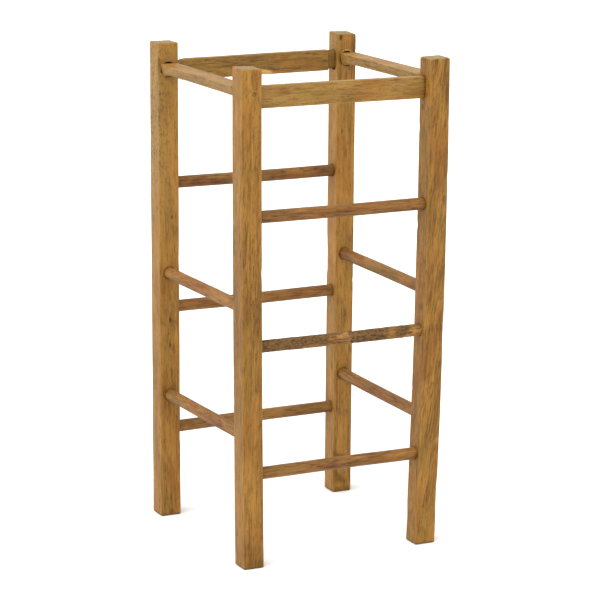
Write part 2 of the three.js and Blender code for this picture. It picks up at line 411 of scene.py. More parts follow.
# %% [markdown]
# ## The posts
# A post is a 28 mm square stick. It was sawn, planed on four sides, and its top was rounded over
# with a knife and a rasp, a little differently each time. We sweep the square outline up the
# bowed axis. Rows at the foot make a small chamfer, rows at the top turn over the edge, and rings
# inside the last row carry the sawn end. Worn corners are extra sides that come close to the axis
# only over a short stretch.

# %% Post shapes
foot_chamfer = 1.5 * MM
row_step = 1.5 * MM
foot_ring_count, turn_row_count, top_ring_count = 6, 7, 8
plane_wave = 0.22 * MM
raised_grain = 0.06 * MM


def end_rings(half, outer, count):
    """Insets of the rings across a stick's end, from near its middle out to an outer inset."""
    return np.linspace(0.93 * half, outer, count)


def post_rows(length, half, top_round):
    """Heights of a post's rows and how far each is drawn in. The foot's rings and chamfer come
    first, then the long faces, then a quarter turn of radius top_round and the top's rings."""
    quarter = np.linspace(0, math.pi / 2, turn_row_count)
    faces = np.arange(foot_chamfer, length - top_round - row_step / 2, row_step)
    foot = end_rings(half, foot_chamfer, foot_ring_count)
    top = end_rings(half, top_round, top_ring_count)[-2::-1]
    turn_height = length - top_round * (1 - np.sin(quarter))
    turn_inset = top_round * (1 - np.cos(quarter))
    heights = np.concatenate([0 * foot, faces, turn_height, np.full(len(top), length)])
    insets = np.concatenate([foot, 0 * faces, turn_inset, top])
    return heights[:, None], insets[:, None]


def grain_relief(along, a, b, seed):
    """How far the hard grain stands proud of the soft: long ridges under 2 mm wide."""
    return raised_grain * stretched_noise(along, a, b, 26 * MM, 1.8 * MM, seed)


def tool_marks(along, a, b, seed):
    """How far a planed face stands proud: slow waves left by the plane, and raised grain."""
    waves = stretched_noise(along, a, b, 95 * MM, 20 * MM, seed)
    return plane_wave * waves + grain_relief(along, a, b, seed + 1)


def knocks(along, angles, half, length, count, seed):
    """Dents from years of use, each a small round bowl: depth times exp(-(distance/size)^2).
    Their places along the stick and round it are seeded random draws, mostly near the arrises."""
    draw = np.random.default_rng(seed)
    total = 0
    for _ in range(count):
        place = draw.uniform(0.04, 0.97) * length
        facing = math.pi / 4 + math.pi / 2 * draw.integers(4) + draw.normal(0, 0.12)
        size = draw.uniform(1.5, 4.5) * MM
        depth = draw.uniform(0.25, 0.8) * MM
        turned = np.angle(np.exp(1j * (angles - facing))) * half * 1.3
        total = total + depth * np.exp(-((along - place) / (1.6 * size)) ** 2 - (turned / size) ** 2)
    return total


# %% Posts
# For each post: how much wider it is than planned, how far its top edge is rounded, how its sawn
# top slopes to the side and to the back, and where it is worn. Each worn place faces a direction in
# degrees and takes a depth off the post from one height to another, easing in and out. Its sizes
# are in millimetres, and one that ends above the top runs out through it.
post_shapes = {
    "post_front_left": {
        "wider": 0.6 * MM, "top_round": 2.2 * MM, "slope": (-0.05, 0.02),
        "worn": [(180, 3.2, 654, 664), (225, 2.6, 646, 664), (225, 0.7, 330, 420)],
    },
    "post_front_right": {
        "wider": 1.2 * MM, "top_round": 2.4 * MM, "slope": (0.02, 0.01),
        "worn": [(225, 1.4, 640, 664), (45, 2.0, 650, 668), (315, 0.6, 250, 330), (315, 0.8, 20, 110),
                 (135, 1.4, -40, 70)],
    },
    "post_back_left": {
        "wider": 1.4 * MM, "top_round": 1.4 * MM, "slope": (0.0, 0.0),
        "worn": [(225, 1.6, 630, 666), (45, 3.0, 650, 668), (315, 0.9, 90, 150), (225, 0.6, 380, 470)],
    },
    "post_back_right": {
        "wider": 0.2 * MM, "top_round": 1.6 * MM, "slope": (-0.04, 0.05),
        "worn": [(225, 0.9, 600, 666), (315, 1.0, 640, 666), (135, 1.2, 300, 380)],
    },
}
worn_clear = 3 * MM
post_knocks = 16
saw_reach = 22 * MM
saw_mark = 0.12 * MM
saw_mark_cell = 2.2 * MM
post_angles = spaced_angles(
    lambda t: outline(box_sides(t, post_half, post_half), arris_sharpness), 120)


# %% Sweeping a post
def make_post(name, seed):
    """Sweeps the square outline up a post, with its worn corners, tool marks and knocks."""
    stick = posts[name]
    shape = post_shapes[name]
    half = (stick.side + shape["wider"]) / 2
    height, inset = post_rows(stick.length, half, shape["top_round"])
    share = 1 - inset / half
    sides = box_sides(post_angles, half, half)
    for degrees, depth, low, high in shape["worn"]:
        facing = math.radians(degrees)
        full = half * (abs(math.cos(facing)) + abs(math.sin(facing)))
        third = (high - low) / 3 * MM
        worn = ease(height, low * MM, low * MM + third) - ease(height, high * MM - third, high * MM)
        if high > stick.length / MM:
            worn = ease(height, low * MM, high * MM)
        sides.append(flat_side(post_angles, facing,
                               full + worn_clear - (worn_clear + depth * MM) * worn))
    circle = polar(half, post_angles)
    softness = stretched_noise(height, *circle, 60 * MM, 15 * MM, seed + 5)
    radius = outline(sides, arris_sharpness * (1 + 0.35 * softness))
    radius = radius + tool_marks(height, *circle, seed)
    radius = radius - knocks(height, post_angles, half, stick.length, post_knocks, seed)
    a, b = polar(radius * share, post_angles)
    sawn = ease(height, stick.length - saw_reach, stick.length)
    slope_a, slope_b = shape["slope"]
    saw_marks = saw_mark * smooth_noise(np.stack([a, b, 0 * a], -1) / saw_mark_cell, seed + 9)
    along = height + sawn * (slope_a * a + slope_b * b) + sawn ** 8 * saw_marks
    return skin(name.replace("post", "planed_post"), stick, along, a, b)


pieces = {}
for number, name in enumerate(posts):
    pieces[name] = make_post(name, 100 + 20 * number)
    print(name, "has", len(pieces[name].data.polygons), "faces before its sockets are cut")

# %% [markdown]
# ## The rungs
# A rung is a 16 mm stick that was shaved round with a spokeshave, so it has many narrow flats
# instead of a true circle, and it bends a little. We blend thirteen flat sides whose distances
# drift along the rung. The front middle rung was never shaved clean: it kept the bumps of the
# branch it was cut from, and the ring where a twig once grew.

# %% Rungs
flats = 13
flat_depth, flat_drift = 0.990, 0.012
flat_sharpness = 60
bend_least, bend_most = 0.2 * MM, 0.7 * MM
rung_row = 1.5 * MM
end_taper = 3 * MM
end_inset = 1.2 * MM
bark_rung = "rung_front_middle"
rung_angles = np.arange(52) / 52 * 2 * math.pi


def stick_rows(length, half, step):
    """Places along a stick with tapered ends and how far each row is drawn in: rings across the
    first end, the taper, the long stretch, and the same again in mirror image."""
    taper = np.linspace(0, 1, 4)
    lead_along = np.concatenate([np.zeros(4), taper * end_taper])
    lead_inset = np.concatenate([end_rings(half, end_inset * 1.3, 4), end_inset * (1 - taper)])
    body = np.linspace(end_taper, length - end_taper, round((length - 2 * end_taper) / step))
    along = np.concatenate([lead_along, body[1:-1], length - lead_along[::-1]])
    inset = np.concatenate([lead_inset, np.zeros(len(body) - 2), lead_inset[::-1]])
    return along[:, None], inset[:, None]


def branch_bumps(along, a, b, length, seed):
    """What is left of the branch: lumps a few millimetres across, and a swelling with a groove
    beside it where a twig grew, 0.56 of the way along, and a weaker one at 0.85."""
    lumps = 0.30 * MM * stretched_noise(along, a, b, 9 * MM, 5 * MM, seed)
    lumps = lumps + 0.15 * MM * stretched_noise(along, a, b, 3 * MM, 2.5 * MM, seed + 1)
    for share, rise in ((0.56, 0.5 * MM), (0.85, 0.3 * MM)):
        offset = (along - share * length) / (2.5 * MM)
        lumps = lumps + rise * (1.2 * np.exp(-offset ** 2) - np.exp(-(offset - 1.6) ** 2))
    return lumps


# %% Sweeping a rung
def make_rung(name, seed):
    """Sweeps thirteen drifting flats along a rung and bends it between its two sockets."""
    stick = rungs[name]
    half = stick.height / 2
    draw = np.random.default_rng(seed)
    along, inset = stick_rows(stick.length, half, rung_row)
    share = along / stick.length
    twist = 0.35 * np.sin(2 * math.pi * (share * draw.uniform(0.4, 0.9) + draw.uniform()))
    sides = []
    for k in range(flats):
        facing = 2 * math.pi * k / flats
        drift = stretched_noise(along, *polar(3 * half, facing), 55 * MM, half, seed)
        sides.append(flat_side(rung_angles, facing + twist, half * (flat_depth + flat_drift * drift)))
    radius = outline(sides, flat_sharpness)
    circle = polar(half, rung_angles)
    radius = radius + grain_relief(along, *circle, seed + 1)
    if name == bark_rung:
        clear = ease(along, 16 * MM, 24 * MM) * ease(stick.length - along, 16 * MM, 24 * MM)
        radius = radius + clear * branch_bumps(along, *circle, stick.length, seed)
    a, b = polar(radius * (1 - inset / half), rung_angles)
    bend = np.sin(math.pi * share) ** 2 * draw.uniform(bend_least, bend_most)
    bend_a, bend_b = polar(bend, draw.uniform(0, 2 * math.pi))
    return skin(name.replace("rung", "shaved_rung"), stick, along, a + bend_a, b + bend_b)


for number, name in enumerate(rungs):
    pieces[name] = make_rung(name, 300 + 10 * number)
print(len(rungs), "rungs with", len(pieces[bark_rung].data.polygons), "faces each")

# %% [markdown]
# ## The front and back rails
# These rails stand on edge and end in flat tenons with rounded edges. The joiner sawed a shoulder
# and then pared the wood down to the tenon, more at some ends than at others. Here the distance
# of each side eases from the rail to the tenon near the shoulder. The back rail also has wane, a
# pale chipped stretch of its lower front edge.

# %% Front and back rails
tenon_inset = {"height": 1.1 * MM, "thickness": 0.6 * MM}
rail_sharpness = 28
tenon_sharpness = 6
rail_row = 1.6 * MM
# For each rail and each of its ends: how far the tenon lies in from the rail's back, top, front
# and bottom, and over what length each of these sides is pared, all in millimetres.
paring = {
    "top_rail_front": [((0.6, 1.1, 0.6, 1.1), (2, 4, 2, 2)), ((0.6, 1.1, 0.6, 1.1), (1, 2, 1, 1))],
    "top_rail_back": [((0.6, 1.1, 1.0, 1.1), (2, 11, 2, 2)),
                      ((0.6, 0.3, 1.9, 1.2), (1, 1, 0.4, 0.4))],
}
# Wane: the middle of the stretch, measured from the rail's middle, its half length, how far up the
# front face it reaches and how far under the rail.
wane_middle, wane_half, wane_rise, wane_run = -12 * MM, 36 * MM, 7.5 * MM, 3.5 * MM
# How much wood the plane left on the top and the bottom of each rail, over its planned size.
left_over = {"top_rail_front": 0.5 * MM, "top_rail_back": 0.25 * MM}
wane_clear = 1 * MM
shoulder_play = 0.3 * MM
rail_bend = 0.5 * MM
section_points = 92


def end_rise(stick, along, end, length):
    """0 on the tenon at one end and 1 on the rail. It eases in from just before the shoulder to a
    length in millimetres past it."""
    from_end = along if end == 0 else stick.length - along
    shoulder = stick.shoulders[end]
    return ease(from_end, shoulder - shoulder_play, shoulder + length * MM)


def wane_side(stick, angles, along):
    """A slanting cut across the lower front edge. It goes through a point wane_rise above the
    corner and one wane_run behind it, and comes closer to the axis by a soft hump."""
    half_w, half_h = stick.width / 2, stick.height / 2
    steep = math.hypot(wane_rise, wane_run)
    facing = math.atan2(-wane_run, -wane_rise)
    corner = (half_w * wane_rise + half_h * wane_run) / steep
    cut = wane_rise * wane_run / steep
    middle = stick.length / 2 + wane_middle
    hump = ease(wane_half - abs(along - middle), 0, 0.7 * wane_half)
    return flat_side(angles, facing, corner + wane_clear - hump * (cut + wane_clear))


# %% Sweeping a rail on edge
def make_edge_rail(name, seed):
    """Sweeps a rail on edge from tenon to tenon."""
    stick = rails[name]
    half_w, half_h = stick.width / 2, stick.height / 2
    angles = spaced_angles(lambda t: outline(box_sides(t, half_w, half_h), rail_sharpness),
                           section_points)
    along, inset = stick_rows(stick.length, half_w, rail_row)
    rest = end_rise(stick, along, 0, 1.5) * end_rise(stick, along, 1, 1)
    sides = []
    full_h = half_h + left_over[name] * rest
    for k, half in enumerate((half_w, full_h, half_w, full_h)):
        for end, (insets, lengths) in enumerate(paring[name]):
            half = half - insets[k] * MM * (1 - end_rise(stick, along, end, lengths[k]))
        sides.append(flat_side(angles, k * math.pi / 2, half))
    if name == "top_rail_back":
        sides.append(wane_side(stick, angles, along))
    section = outline(sides, tenon_sharpness + (rail_sharpness - tenon_sharpness) * rest)
    section = section + rest * tool_marks(along, *polar(section, angles), seed)
    a, b = polar(section * (1 - inset / half_w), angles)
    bend = rail_bend * np.sin(math.pi * along / stick.length) ** 2
    return skin(name.replace("top", "edge"), stick, along, a + bend, b)


for number, name in enumerate(("top_rail_front", "top_rail_back")):
    pieces[name] = make_edge_rail(name, 500 + 10 * number)
    print(name, "has", len(pieces[name].data.polygons), "faces")

# %% [markdown]
# ## The side rails
# The side rails lie flat. Their ends are simply whittled until they go into a round bore, which
# was drilled a little low. At the back posts the left face of each rail keeps more wood below, so
# that it fills the bore, and its upper left corner is taken down with a knife. The tenon is the
# rail cut by a circle, so we add a circle to the sides and let it close in at the shoulder.

# %% Side rails
bore_radius = 10.5 * MM
bore_drop = 2.5 * MM
bore_gap = 0.4 * MM
whittle_length = 24 * MM
whittle_depth = 2.9 * MM
whittle_top = 0.2 * MM
fill_length = 22 * MM
fill_depth = 5.5 * MM
fill_corner = 0.7 * fill_depth
left_tilt = math.radians(17)
tilt_lost = 0.3
lower_left_cut, lower_right_cut = 0.6 * MM, 0.4 * MM
side_left_over = 0.25 * MM
side_arris = 26
shoulder_length = 3.5  # millimetres, as in the paring above


# %% Sweeping a flat rail
def make_side_rail(name, seed):
    """Sweeps a flat rail from one rounded tenon to the other."""
    stick = rails[name]
    half_w, half_h = stick.width / 2, stick.height / 2
    angles = spaced_angles(lambda t: outline(box_sides(t, half_w, half_h), side_arris),
                           section_points)
    along, inset = stick_rows(stick.length, half_h, rail_row)
    body = end_rise(stick, along, 0, shoulder_length) * end_rise(stick, along, 1, shoulder_length)
    tenon_radius = bore_radius - bore_gap
    circle = tenon_radius + (2.2 * half_w - tenon_radius) * body ** 0.5
    from_back = stick.faces[1] - along
    whittled = 1 - ease(from_back, 0.5 * MM, whittle_length)
    filled = 1 - ease(from_back, 1 * MM, fill_length)
    corner = (half_w + half_h) / math.sqrt(2)
    full_h = half_h + side_left_over * body
    sides = [
        flat_side(angles, -left_tilt * (1 - tilt_lost * whittled), half_w - whittle_depth * whittled),
        flat_side(angles, math.pi / 2, full_h - whittle_top * whittled),
        flat_side(angles, math.pi, half_w),
        flat_side(angles, -math.pi / 2, full_h + fill_depth * filled),
        flat_side(angles, -math.pi / 4, corner - lower_left_cut + fill_corner * filled),
        flat_side(angles, -math.pi * 3 / 4, corner - lower_right_cut),
        round_side(angles, bore_drop, circle),
    ]
    section = outline(sides, side_arris)
    section = section + body * tool_marks(along, *polar(section, angles), seed)
    a, b = polar(section * (1 - inset / half_h), angles)
    return skin(name.replace("top", "flat"), stick, along, a, b)


for number, name in enumerate(("top_rail_left", "top_rail_right")):
    pieces[name] = make_side_rail(name, 520 + 10 * number)
    print(name, "has", len(pieces[name].data.polygons), "faces")

# %% [markdown]
# ## The pegs
# A peg pins each tenon of the front and back rails. It is a splinter of the same wood, shaved to
# eight sides and driven in until its end stands just proud of the post, where it was trimmed with
# a chisel.

# %% Pegs
peg_angles = np.arange(40) / 40 * 2 * math.pi
peg_sides = 8
dome_reach = 0.35 * MM
trim_slope, trim_reach = 0.06, 2 * MM


def peg_stick(name):
    """A peg runs from front to back, and its box gives its axis."""
    low, high = [np.array(corner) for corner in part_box(name)]
    middle = (low + high) / 2
    start, end = [np.array([middle[0], y, middle[2]]) for y in (low[1], high[1])]
    return make_stick(start, end, (-1, 0, 0), (0, 0, 1), width=high[0] - low[0])


def make_peg(name, seed):
    """Sweeps eight blended flats along a peg. Its ends are domed and trimmed at a slight slope."""
    stick = pegs[name]
    half = stick.width / 2
    rows = np.linspace(0, 1, 24)[:, None]
    ends = np.array([0.15, 0.45, 0.75, 0.92])[:, None]
    domed = dome_reach * (1 - np.sqrt(1 - ends ** 2))
    along = np.concatenate([domed, dome_reach + rows * (stick.length - 2 * dome_reach),
                            stick.length - domed[::-1]])
    share = np.concatenate([ends, 0 * rows + 1, ends[::-1]])
    facings = [2 * math.pi * k / peg_sides + 0.2 for k in range(peg_sides)]
    radius = outline([flat_side(peg_angles, facing, 0.97 * half) for facing in facings], 24)
    splinters = stretched_noise(along, *polar(half, peg_angles), 6 * MM, 1.2 * MM, seed)
    a, b = polar((radius + raised_grain * splinters) * share, peg_angles)
    trimmed = 1 - ease(np.minimum(along, stick.length - along), 0, trim_reach)
    return skin(name.replace("tenon", "driven_tenon"), stick, along + trim_slope * a * trimmed, a, b)


pegs = {}
for number, corner in enumerate(corners):
    name = f"tenon_peg_{corner}"
    pegs[name] = peg_stick(name)
    pieces[name] = make_peg(name, 600 + number)
print(len(pegs), "pegs,", [round(stick.length / MM, 1) for stick in pegs.values()], "mm long")

# %% [markdown]
# ## Sockets
# The rungs stand in drilled holes, the front and back rails in chopped mortises with round ends,
# and the side rails in larger bores. Each hole is cut with a solid of its own, swept along the
# axis of the piece that goes in, and a Boolean modifier takes it out of the post. The rims are
# worn, so each cutter flares a little where it passes the face of the post.

# %% Cutters
socket_gap = 0.2 * MM
slot_gap = {"front": 1.4 * MM, "back": 0.4 * MM, "ends": 1.4 * MM}
peg_gap = 0.3 * MM
rim_wear = 0.3 * MM
past_face = 5 * MM
cutter_angles = np.arange(72) / 72 * 2 * math.pi


def slot_outline(angles, half_width, half_height):
    """Radius of a slot with round ends. A ray meets the straight side at half_width / |cos|, or
    past it the end circle, at s |sin| + sqrt(w^2 - (s cos)^2), where s = height - width."""
    straight = half_height - half_width
    cos, sin = np.abs(np.cos(angles)), np.abs(np.sin(angles))
    on_side = half_width * sin <= straight * cos
    side = half_width / np.maximum(cos, 1e-9)
    end = straight * sin + np.sqrt(np.maximum(half_width ** 2 - (straight * cos) ** 2, 0))
    return np.where(on_side, side, end)


def make_cutter(stick, end, radius, depth_gap, seed, shift=(0, 0)):
    """A solid from just past the stick's end to past the post's face. Its radius grows by the
    wear of the rim from a millimetre inside the face outwards, unevenly round the hole."""
    from_end = stick.faces[0] if end == 0 else stick.length - stick.faces[1]
    places = np.array([-depth_gap, from_end - 1.4 * MM, from_end - 0.5 * MM, from_end + 0.2 * MM,
                       from_end + past_face])[:, None]
    wear = np.array([0, 0, 0.25, 1, 1.6])[:, None] * rim_wear
    ring = np.stack([*polar(1, cutter_angles), 0 * cutter_angles], -1)
    uneven = 1 + 0.6 * smooth_noise(ring * 2.5 + seed, seed)
    flared = radius + wear * uneven
    if end == 1:
        places, flared = stick.length - places[::-1], flared[::-1]
    a, b = polar(flared, cutter_angles)
    return skin("cutter", stick, places, a + shift[0], b + shift[1])


# %% One list of cutters for each piece that is cut
cutters = {name: [] for name in (*posts, "top_rail_front", "top_rail_back")}
for number, (name, stick) in enumerate(rungs.items()):
    for end, post in enumerate(stick.posts):
        hole = make_cutter(stick, end, stick.height / 2 + socket_gap, socket_gap, number)
        cutters[post].append(hole)

for number, side in enumerate(("front", "back")):
    stick = rails[f"top_rail_{side}"]
    tenon_w = stick.width / 2 - tenon_inset["thickness"]
    tenon_h = stick.height / 2 - tenon_inset["height"]
    slot_w = tenon_w + (slot_gap["front"] + slot_gap["back"]) / 2
    slot = slot_outline(cutter_angles, slot_w, tenon_h + slot_gap["ends"])
    offset = (slot_gap["back"] - slot_gap["front"]) / 2
    for end, post in enumerate(stick.posts):
        cutters[post].append(make_cutter(stick, end, slot, socket_gap, 20 + number, (offset, 0)))

for number, side in enumerate(("left", "right")):
    stick = rails[f"top_rail_{side}"]
    for end, post in enumerate(stick.posts):
        for target_name in (post, "top_rail_" + post.split("_")[1]):
            bore = make_cutter(stick, end, bore_radius, bore_gap, 30 + number, (0, -bore_drop))
            cutters[target_name].append(bore)

for name, stick in pegs.items():
    # A peg's hole runs out through the face that the peg was driven in from.
    past_front, past_back = (past_face, peg_gap) if "front" in name else (peg_gap, past_face)
    places = np.linspace(-past_front, stick.length + past_back, 3)[:, None]
    a, b = polar(stick.width / 2 + peg_gap + 0 * places, cutter_angles)
    for target_name in (name.replace("tenon_peg", "post"), f"top_rail_{name.split('_')[2]}"):
        cutters[target_name].append(skin("cutter", stick, places, a, b))
print({name: len(tools) for name, tools in cutters.items()}, "cutters")


# %% Cutting
def cut(piece, tools):
    """Takes all the tools out of a piece, keeps the result as its mesh, and clears them away."""
    for tool in tools:
        modifier = piece.modifiers.new("socket", "BOOLEAN")
        modifier.operation = "DIFFERENCE"
        modifier.solver = "MANIFOLD"
        modifier.object = tool
    graph = bpy.context.evaluated_depsgraph_get()
    done = bpy.data.meshes.new_from_object(piece.evaluated_get(graph))
    blank = piece.data
    piece.modifiers.clear()
    piece.data = done
    bpy.data.meshes.remove(blank)
    done.name = piece.name
    for tool in tools:
        bpy.data.meshes.remove(tool.data)


for name, tools in cutters.items():
    cut(pieces[name], tools)
    print(name, "has", len(pieces[name].data.polygons), "faces with its sockets")

# %% [markdown]
# ## Where the wood is worn, dirty or stained, and where shade is painted
# The finish needs to know more than a texture can guess: how far a point lies from an arris, from a
# socket or from the foot, where a knot grew, and where the grain runs. Near the sockets, the joints and
# the foot the wood is painted darker, partly for grime and partly as painted shade. We work all of this
# out for whole arrays of points in the stick's own directions and store it on the mesh as attributes.
# "grain" is the point's place in the tree it was sawn from, so each piece has its own pith.


# %% Attributes
def store(mesh, name, values):
    """Writes one number, or one vector, for each point of a mesh."""
    kind = "FLOAT_VECTOR" if values.ndim == 2 else "FLOAT"
    attribute = mesh.attributes.new(name, kind, "POINT")
    attribute.data.foreach_set("vector" if values.ndim == 2 else "value",
                               values.astype(np.float32).ravel())


def spots(along, a, b, places):
    """The sum of soft spots, each strength exp(-(along distance / length)^2 - (side distance /
    width)^2). A spot is (along, a, b, length, width, strength) in millimetres."""
    total = np.zeros_like(along)
    for at_along, at_a, at_b, length, width, strength in places:
        far = ((along / MM - at_along) / length) ** 2
        side = ((a / MM - at_a) ** 2 + (b / MM - at_b) ** 2) / width ** 2
        total += strength * np.exp(-far - side)
    return total


def near_arris(a, b, half_w, half_h, reach):
    """1 on an arris, falling as exp(-(distance / reach)^2) from the nearest corner."""
    gap = np.hypot(half_w - np.abs(a), half_h - np.abs(b))
    return np.exp(-(gap / reach) ** 2)


def near_sockets(points, reach):
    """How close each point is to a piece that goes into a post: exp(-gap / reach), where the gap
    is measured from the surface of that piece."""
    total = np.zeros(len(points))
    for stick in (*rungs.values(), *rails.values()):
        along, a, b = to_stick(stick, points)
        if stick.is_round:
            gap = np.hypot(a, b) - stick.height / 2
        else:
            gap = np.maximum(np.abs(a) - stick.width / 2, np.abs(b) - stick.height / 2)
        inside = (along > -2 * MM) & (along < stick.length + 2 * MM)
        near = np.exp(-np.maximum(gap, 0) / reach) * inside
        total = np.maximum(total, near)
    return total


# %% [markdown]
# The marks of this stand, one list for each piece that has any. A knot, a stain, a lichen patch or
# a pale rubbed one is given by its place on the stick, its length, its width and its strength, in
# the order that spots() reads. Most of them lie on a front face or a left face.

# %% Marks of each piece
# A post is square, so its front face lies at b = front and its left face at a = front.
front = -post_half / MM
knots = {
    "post_front_right": [(593.3, front, 5.2, 5, 2.6, 1), (592.9, front, -11, 4, 2.2, 0.8)],
    "post_front_left": [(355.4, -1.1, front, 2.2, 1.6, 0.7), (355, 3.4, front, 2.4, 1.8, 0.7),
                        (341, 2.5, front, 3, 1.6, 0.6)],
    "post_back_left": [(423, 4.4, front, 4, 2.4, 0.9), (279.5, 0.4, front, 5, 2.4, 0.9),
                       (244.2, 0.2, front, 5, 2.2, 0.9), (560, front, 2, 5, 3, 0.5)],
    "post_back_right": [(656, -9.5, front, 4.5, 3, 1)],
    "rung_back_upper": [(118, 0, -8, 3, 2, 0.9), (60, 0, -8, 2.5, 2, 0.6)],
}
# The dark rim at each foot: dirt, and painted shade on the chamfer that faces the floor.
foot_dirt_and_shade = (0.4, 0, 0, 1.8, 60, 1.3)
stains_and_shade = {
    "post_front_left": [(9, -4, front, 6, 1.8, 0.7), (8, -9, front, 5, 5, 0.45),
                        (7, 9, front, 6, 5, 0.6), (20, -5, front, 1.8, 9, 0.7),
                        (27, 1, front, 7, 1.8, 0.7), (648, 4.5, front, 8, 1.6, 0.5),
                        (340, -9, front, 34, 1.3, 0.5), (300, 10, front, 90, 2.2, 0.45),
                        (470, 8, front, 60, 1.8, 0.35), (120, 11, front, 110, 2.5, 0.35),
                        (190, front, 0, 100, 18, 0.42), (530, front, 0, 90, 18, 0.2),
                        (4, 5, front, 11, 13, 0.45), foot_dirt_and_shade],
    "post_front_right": [(420, 14, front, 50, 2.4, 0.55), (649.2, -8.7, front, 1.4, 0.9, 0.9),
                         (646.2, -8.2, front, 1.2, 0.8, 0.9), (150, 6, front, 90, 2, 0.35),
                         (230, -4, front, 60, 1.6, 0.35), (60, 9, front, 50, 2, 0.35), foot_dirt_and_shade],
    "post_back_left": [(180, front, 0, 110, 18, 0.25), (630, -14, front, 14, 2, 0.5),
                       (40, 5, front, 30, 3, 0.4), (660, 0, 0, 1.6, 40, 0.15), foot_dirt_and_shade],
    "post_back_right": [(643, 14, front, 18, 5.2, 1.7), (660, 0, 0, 1.6, 40, 0.3),
                        (640, -8, front, 14, 1.2, 0.5), (636, -4.5, front, 12, 1, 0.45),
                        (560, 7.5, front, 70, 1.1, 0.7), (500, -2, front, 60, 1.2, 0.4),
                        (75, -11, front, 22, 2.4, 0.6), (62, 9, front, 14, 2, 0.5), foot_dirt_and_shade],
}
# Dark wedges on the back right foot, where the saw crossed the grain: (height, side, strength).
for height, side, strength in [(32, -12, 0.7), (27, -8, 0.7), (22, -4, 0.7), (18, 0, 0.7), (14, 4, 0.7),
                               (25, -12, 0.5), (19, -10, 0.5), (17, -5, 0.4), (14, -12, 0.4),
                               (56, -12, 0.6), (55, -7, 0.6), (53, -2, 0.6), (52, 3, 0.5),
                               (60, -13, 0.5), (5, -10, 0.5), (4, -4, 0.6), (5, 3, 0.5), (4, 9, 0.7)]:
    stains_and_shade["post_back_right"].append((height, side, front, 3.8, 3.6, 1.3 * strength))

# %% Lichen and rubbed places
weathered = {
    "post_back_left": [(560, front, 0, 135, 18, 1.2), (640, 0, front, 30, 9, 0.25),
                       (600, -11, front, 70, 3, 0.35)],
    "post_front_right": [(480, 14, front, 90, 5, 0.35)],
    "post_back_right": [(642, front, 0, 24, 14, 0.6)],
}
rail_middle = rails["top_rail_back"].length / 2 / MM
rubbed = {"top_rail_back": [(rail_middle + place, -6, -12, 13, height, 1.3)
                            for place, height in ((-12, 5.0), (0, 5.0), (11, 4.0))]}
# The back rail's recessed neck at its right end: grime, and painted shade in the recess.
stains_and_shade["top_rail_back"] = [(rails["top_rail_back"].faces[1] / MM - 5, -6, 0, 4.5, 14, 0.6)]


def chips(post, rail, turns):
    """Torn pale fibres on the rim of a bore in a back post, at some turns from its top."""
    entry = axis_at(rail, rail.faces[1])
    along, a, _ = to_stick(post, entry)
    reach = (bore_radius + 1.2 * MM) / MM
    centre = (along - bore_drop) / MM
    return [(centre + up, a / MM + aside, front, 1.6, 1.7, 1.3)
            for up, aside in zip(*polar(reach, np.radians(turns)))]


rubbed["post_back_right"] = chips(posts["post_back_right"], rails["top_rail_right"],
                                  [-52, -40, -28, -8, 10, 30, 44])
rubbed["post_back_left"] = chips(posts["post_back_left"], rails["top_rail_left"],
                                 [-118, -104, -90, -76, -62])
print(sum(len(found) for found in knots.values()), "knots and",
      sum(len(found) for found in stains_and_shade.values()), "stains_and_shade")

# %% Where each piece grew
# The pith lies outside most pieces, so the growth rings cross their faces as long streaks. It
# runs off to the side as the piece rises (the lean, in mm a metre), which slants the streaks. The
# figure says how strongly the rings are marked, and the tone how light or dark the wood is: both
# are given at evenly spaced places from the stick's start to its end.
grown = {
    "post_front_left": {"pith": (34, -58), "lean": 30, "figure": (0.9, 0.8, 0.9, 0.6, 0.5),
                        "tone": (-0.20, 0.0, -0.15, -0.30, -0.02, 0.06)},
    "post_front_right": {"pith": (-22, -40), "lean": 110, "figure": (1.6, 1.7, 1.4, 0.5, 0.15),
                         "tone": (-0.02, -0.13, -0.18, -0.20, -0.25, -0.18)},
    "post_back_left": {"pith": (-48, -30), "lean": -30, "figure": (0.9, 0.8, 0.7, 0.5, 0.4),
                       "tone": (-0.03, -0.08, -0.02, 0.04, 0.28, 0.28)},
    "post_back_right": {"pith": (26, -44), "lean": -20, "figure": (1.5, 1.3, 0.9, 0.7, 0.7),
                        "tone": (0.07, 0.06, 0.03, 0.04, 0.1, 0.12)},
    "rung_back_upper": {"pith": (14, -12), "lean": 10, "figure": (0.3, 0.4), "tone": (-0.28, -0.26)},
    "top_rail_front": {"pith": (-40, 22), "lean": 30, "figure": (0.5, 0.4), "tone": (0.0, 0.0)},
    "top_rail_back": {"pith": (-52, -26), "lean": 20, "figure": (0.4, 0.4), "tone": (-0.22, -0.22)},
    "top_rail_left": {"pith": (18, -46), "lean": 0, "figure": (0.3, 0.3), "tone": (0.0, 0.0)},
    "top_rail_right": {"pith": (-24, 50), "lean": 0, "figure": (0.3, 0.3), "tone": (0.0, 0.0)},
}


def grow(number, name):
    """Where a piece lay in its tree. Rungs and pegs get a seeded place near the pith."""
    if name in grown:
        return grown[name]
    draw = np.random.default_rng(800 + number)
    tone = draw.uniform(-0.12, 0.08, 4) - 0.10
    return {"pith": (draw.uniform(8, 22), draw.uniform(-22, -8)), "lean": draw.uniform(-40, 40),
            "figure": draw.uniform(0.12, 0.42, 3), "tone": tone}


# %% Writing the attributes
tree_gap = 1.7               # metres of tree between one piece and the next
knot_push = 4 * MM           # how far a knot pushes the rings outwards
arris_wear = 1.5 * MM        # how far the rubbing of an arris reaches
peg_end_grain = 0.15         # a peg's trimmed end is burnished, so little dirt gets in
# How far the darkening reaches from a socket, from the foot and from a post's face: grime, and painted
# shade where the pieces meet.
socket_grime_and_shade, foot_grime_and_shade, joint_grime_and_shade = 1.6 * MM, 3 * MM, 2.2 * MM


